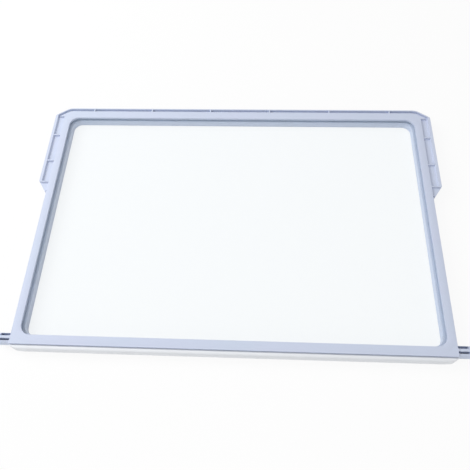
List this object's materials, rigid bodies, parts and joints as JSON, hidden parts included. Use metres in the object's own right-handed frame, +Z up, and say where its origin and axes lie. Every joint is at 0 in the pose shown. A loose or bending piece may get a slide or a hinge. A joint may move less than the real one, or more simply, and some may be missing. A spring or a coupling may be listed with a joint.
{
  "type": "refrigerator shelf",
  "caption": "Flat glass refrigerator shelf in a moulded plastic frame with side flanges, front support pegs, a grooved back edge and a rounded front trim strip.",
  "frame": {"origin": "centre of the shelf's footprint, on the plane that its underside rests on", "axes": "+X to the right across the cabinet, +Y from the door to the back of the cabinet, +Z up"},
  "size_m": [0.4986, 0.33, 0.016],
  "materials": {
    "frame_plastic": "smooth moulded, soft gloss, pale lavender grey",
    "shelf_glass": "clear tempered float glass with a faint green-blue tint at its edges",
    "trim_plastic": "smooth moulded, soft gloss, neutral pale grey"
  },
  "bodies": {
    "root": {"frame": "frame_plastic", "glass_pane": "shelf_glass", "front_trim": "trim_plastic"}
  },
  "joints": []
}
